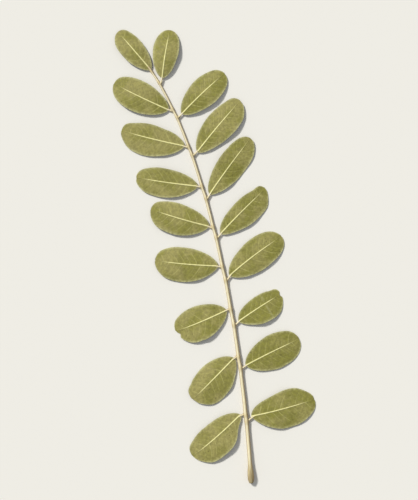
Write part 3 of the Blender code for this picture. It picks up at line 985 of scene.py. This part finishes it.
def mix_stalk(name):
    tree = new_material(name)
    place = streaked_place(tree, 9.0)
    spots = {"Place": place, "Patch Size": 0.9, "Grain Size": 0.35}
    spots |= {"Speck Size": 0.8, "Speck Share": 0.06}
    spots = use_effect(tree, mottling, spots)
    fibres = {"Place": streaked_place(tree, 14.0)}
    fibres |= {"Cell Size": 0.4, "Grain Size": 0.12, "Grain Share": 0.8}
    skin = use_effect(tree, dry_skin, fibres)
    colour = paint(tree, STRAW, spots["Grain"], 0.55, STREAK)
    colour = paint(tree, colour, skin["Net"], 0.25, BROWN_MARKS_AND_GROOVE_SHADE)
    # Painted shade: the stalks are browned where the groove mask says they lie deep in a groove.
    colour = paint(tree, colour, ramp(tree, mask(tree, "groove"), 0.45, 1.0), 0.5, BROWN_MARKS_AND_GROOVE_SHADE)
    colour = paint(tree, colour, mask(tree, "joint"), 0.45, JOINT)
    colour = paint(tree, colour, spots["Specks"], 0.6, BROWN_MARKS_AND_GROOVE_SHADE)
    foot_skin = blend_colours(tree, spots["Patches"], FOOT_SKIN, FOOT_DARK)
    colour = paint(tree, colour, mask(tree, "foot"), 0.85, foot_skin)
    # Painted shade: brown along both flanks of the stalks, strongest on the right flank, away from the
    # light.
    shifted = calculate(tree, "SUBTRACT", mask(tree, "ring_x"), FLANK_SHADE_SHIFT)
    sideways = calculate(tree, "ABSOLUTE", shifted, 0.0)
    colour = paint(tree, colour, ramp(tree, sideways, 0.45, 0.95), FLANK_SHADE_SHARE, FLANK_SHADE)
    colour = blend_colours(tree, mask(tree, "scar"), colour, CUT)
    roughness = ramp(tree, spots["Patches"], 0, 1, 0.42, 0.62)
    return finish_material(name, colour, roughness, skin["Height"], 0.03 * MM, 0.45)


stalk_material = mix_stalk("dried stalk")
for piece in [rachis] + leaflet_stalks:
    piece.data.materials.append(stalk_material)
print(stalk_material.name)

# %% [markdown]
# ## Give the pieces their place in the imported model
#
# The leaf is one rigid body, so each piece rides on it. The fine pieces together stand for the
# imported solid, which is hidden.

# %% Hand the pieces over
for blade in blades:
    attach(blade, "root")
    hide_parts("leaf")
for piece in [rachis] + leaflet_stalks:
    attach(piece, "root")
    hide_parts("leaf")

# %% [markdown]
# ## A pale floor
#
# The leaf lies on something pale and matt that has no edge in sight. A curved studio backdrop
# would do, but the leaf is so low that one very large flat face is enough. It bounces light back
# into the shadows under the rims.

# %% Lay the floor
FLOOR_REACH = 30.0
FLOOR_COLOUR = seen_colour(242, 241, 235)


def make_floor():
    mesh = bpy.data.meshes.new("floor")
    signs = ((-1, -1), (1, -1), (1, 1), (-1, 1))
    corners = [(x * FLOOR_REACH, y * FLOOR_REACH, 0) for x, y in signs]
    mesh.from_pydata(corners, [], [(0, 1, 2, 3)])
    tree = new_material("pale floor")
    surface = tree.nodes["Principled BSDF"]
    surface.inputs["Base Color"].default_value = FLOOR_COLOUR
    surface.inputs["Roughness"].default_value = 0.9
    surface.inputs["Specular IOR Level"].default_value = 0.1
    mesh.materials.append(bpy.data.materials["pale floor"])
    return add_piece("floor", mesh)


floor = make_floor()
print("floor, m:", [round(side, 1) for side in floor.dimensions])

# %% [markdown]
# ## Light and camera
#
# The photograph looks straight down on the leaf, with the light low at the upper left, so that
# raised rims throw short, crisp shadows to the lower right. A sun lamp with a wide angle gives that
# light: an area lamp would do as well, but would leave the floor brighter on one side. The world
# fills in the rest. A long lens keeps the view nearly parallel, as from a camera held far above.

# %% Set up the lights and the camera
VIEW_TURN = math.radians(-16.19)
VIEW_SPAN = 308 * MM
LENS, SENSOR = 100.0, 36.0
AIM = Vector((0, 0, 2 * MM))
KEY_DIRECTION = Vector((-0.36, 0.66, 0.66)).normalized()
KEY_STRENGTH, KEY_ANGLE, KEY_COLOUR = 3.0, math.radians(9), (1.0, 0.97, 0.92)
FILL_STRENGTH, FILL_COLOUR = 0.36, (0.95, 0.97, 1.0, 1)


def make_key_light():
    light = bpy.data.lights.new("key", "SUN")
    light.energy, light.angle = KEY_STRENGTH, KEY_ANGLE
    light.color = KEY_COLOUR
    lamp = bpy.data.objects.new("key", light)
    lamp.rotation_euler = KEY_DIRECTION.to_track_quat("Z", "Y").to_euler()
    bpy.context.scene.collection.objects.link(lamp)


def make_camera():
    lens = bpy.data.cameras.new("camera")
    lens.lens, lens.sensor_width, lens.clip_start = LENS, SENSOR, 10 * MM
    camera = bpy.data.objects.new("camera", lens)
    camera.location = AIM + Vector((0, 0, VIEW_SPAN * LENS / SENSOR))
    camera.rotation_euler = (0, 0, VIEW_TURN)
    bpy.context.scene.collection.objects.link(camera)
    bpy.context.scene.camera = camera


make_key_light()
make_camera()
world = bpy.data.worlds.new("soft light")
world.use_nodes = True
sky = world.node_tree.nodes["Background"]
sky.inputs["Color"].default_value = FILL_COLOUR
sky.inputs["Strength"].default_value = FILL_STRENGTH
bpy.context.scene.world = world
bpy.context.scene.view_settings.view_transform = "Standard"
print("camera height, mm:", round(bpy.context.scene.camera.location.z / MM))
